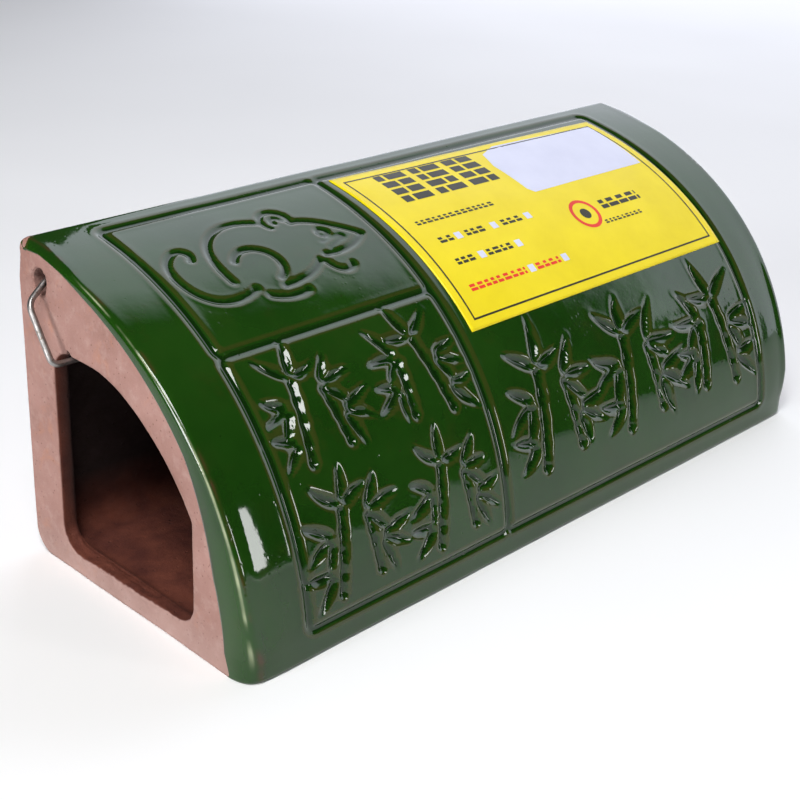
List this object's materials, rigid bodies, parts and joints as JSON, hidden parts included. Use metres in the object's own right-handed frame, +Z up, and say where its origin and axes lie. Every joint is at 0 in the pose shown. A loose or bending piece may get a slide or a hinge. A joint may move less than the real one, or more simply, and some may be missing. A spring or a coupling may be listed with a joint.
{
  "type": "bait station",
  "caption": "Quarter-round glazed ceramic tunnel with an arched entrance at each end and a bent wire that carries bait blocks inside.",
  "frame": {"origin": "middle of the flat base", "axes": "+X along the tunnel, away from the end with the wire's hook; +Y towards the wall side, the flat back; +Z up"},
  "size_m": [0.3113, 0.114, 0.1131],
  "materials": {
    "clay": "bare fired clay, matte and slightly pitted",
    "glaze": "deep green gloss glaze",
    "label": "satin printed vinyl",
    "steel": "bright drawn wire",
    "wax": "pressed wax and grain"
  },
  "bodies": {
    "housing": {"clay_body": "clay", "glaze_coat": "glaze", "label_sheet": "label"},
    "wire": {"bait_wire": "steel"},
    "block_1": {"bait_block_1": "wax"},
    "block_2": {"bait_block_2": "wax"},
    "block_3": {"bait_block_3": "wax"},
    "block_4": {"bait_block_4": "wax"}
  },
  "joints": [
    {"name": "wire_pull", "type": "slide", "parent": "housing", "child": "wire", "axis": [-1, 0, 0], "range_m": [0, 0.078]},
    {"name": "block_1_swing", "type": "hinge", "parent": "wire", "child": "block_1", "pos_m": [-0.048, 0.0302, 0.0791], "axis": [1, 0, 0], "continuous": true},
    {"name": "block_2_swing", "type": "hinge", "parent": "wire", "child": "block_2", "pos_m": [-0.016, 0.0302, 0.0791], "axis": [1, 0, 0], "continuous": true},
    {"name": "block_3_swing", "type": "hinge", "parent": "wire", "child": "block_3", "pos_m": [0.016, 0.0302, 0.0791], "axis": [1, 0, 0], "continuous": true},
    {"name": "block_4_swing", "type": "hinge", "parent": "wire", "child": "block_4", "pos_m": [0.048, 0.0302, 0.0791], "axis": [1, 0, 0], "continuous": true}
  ]
}
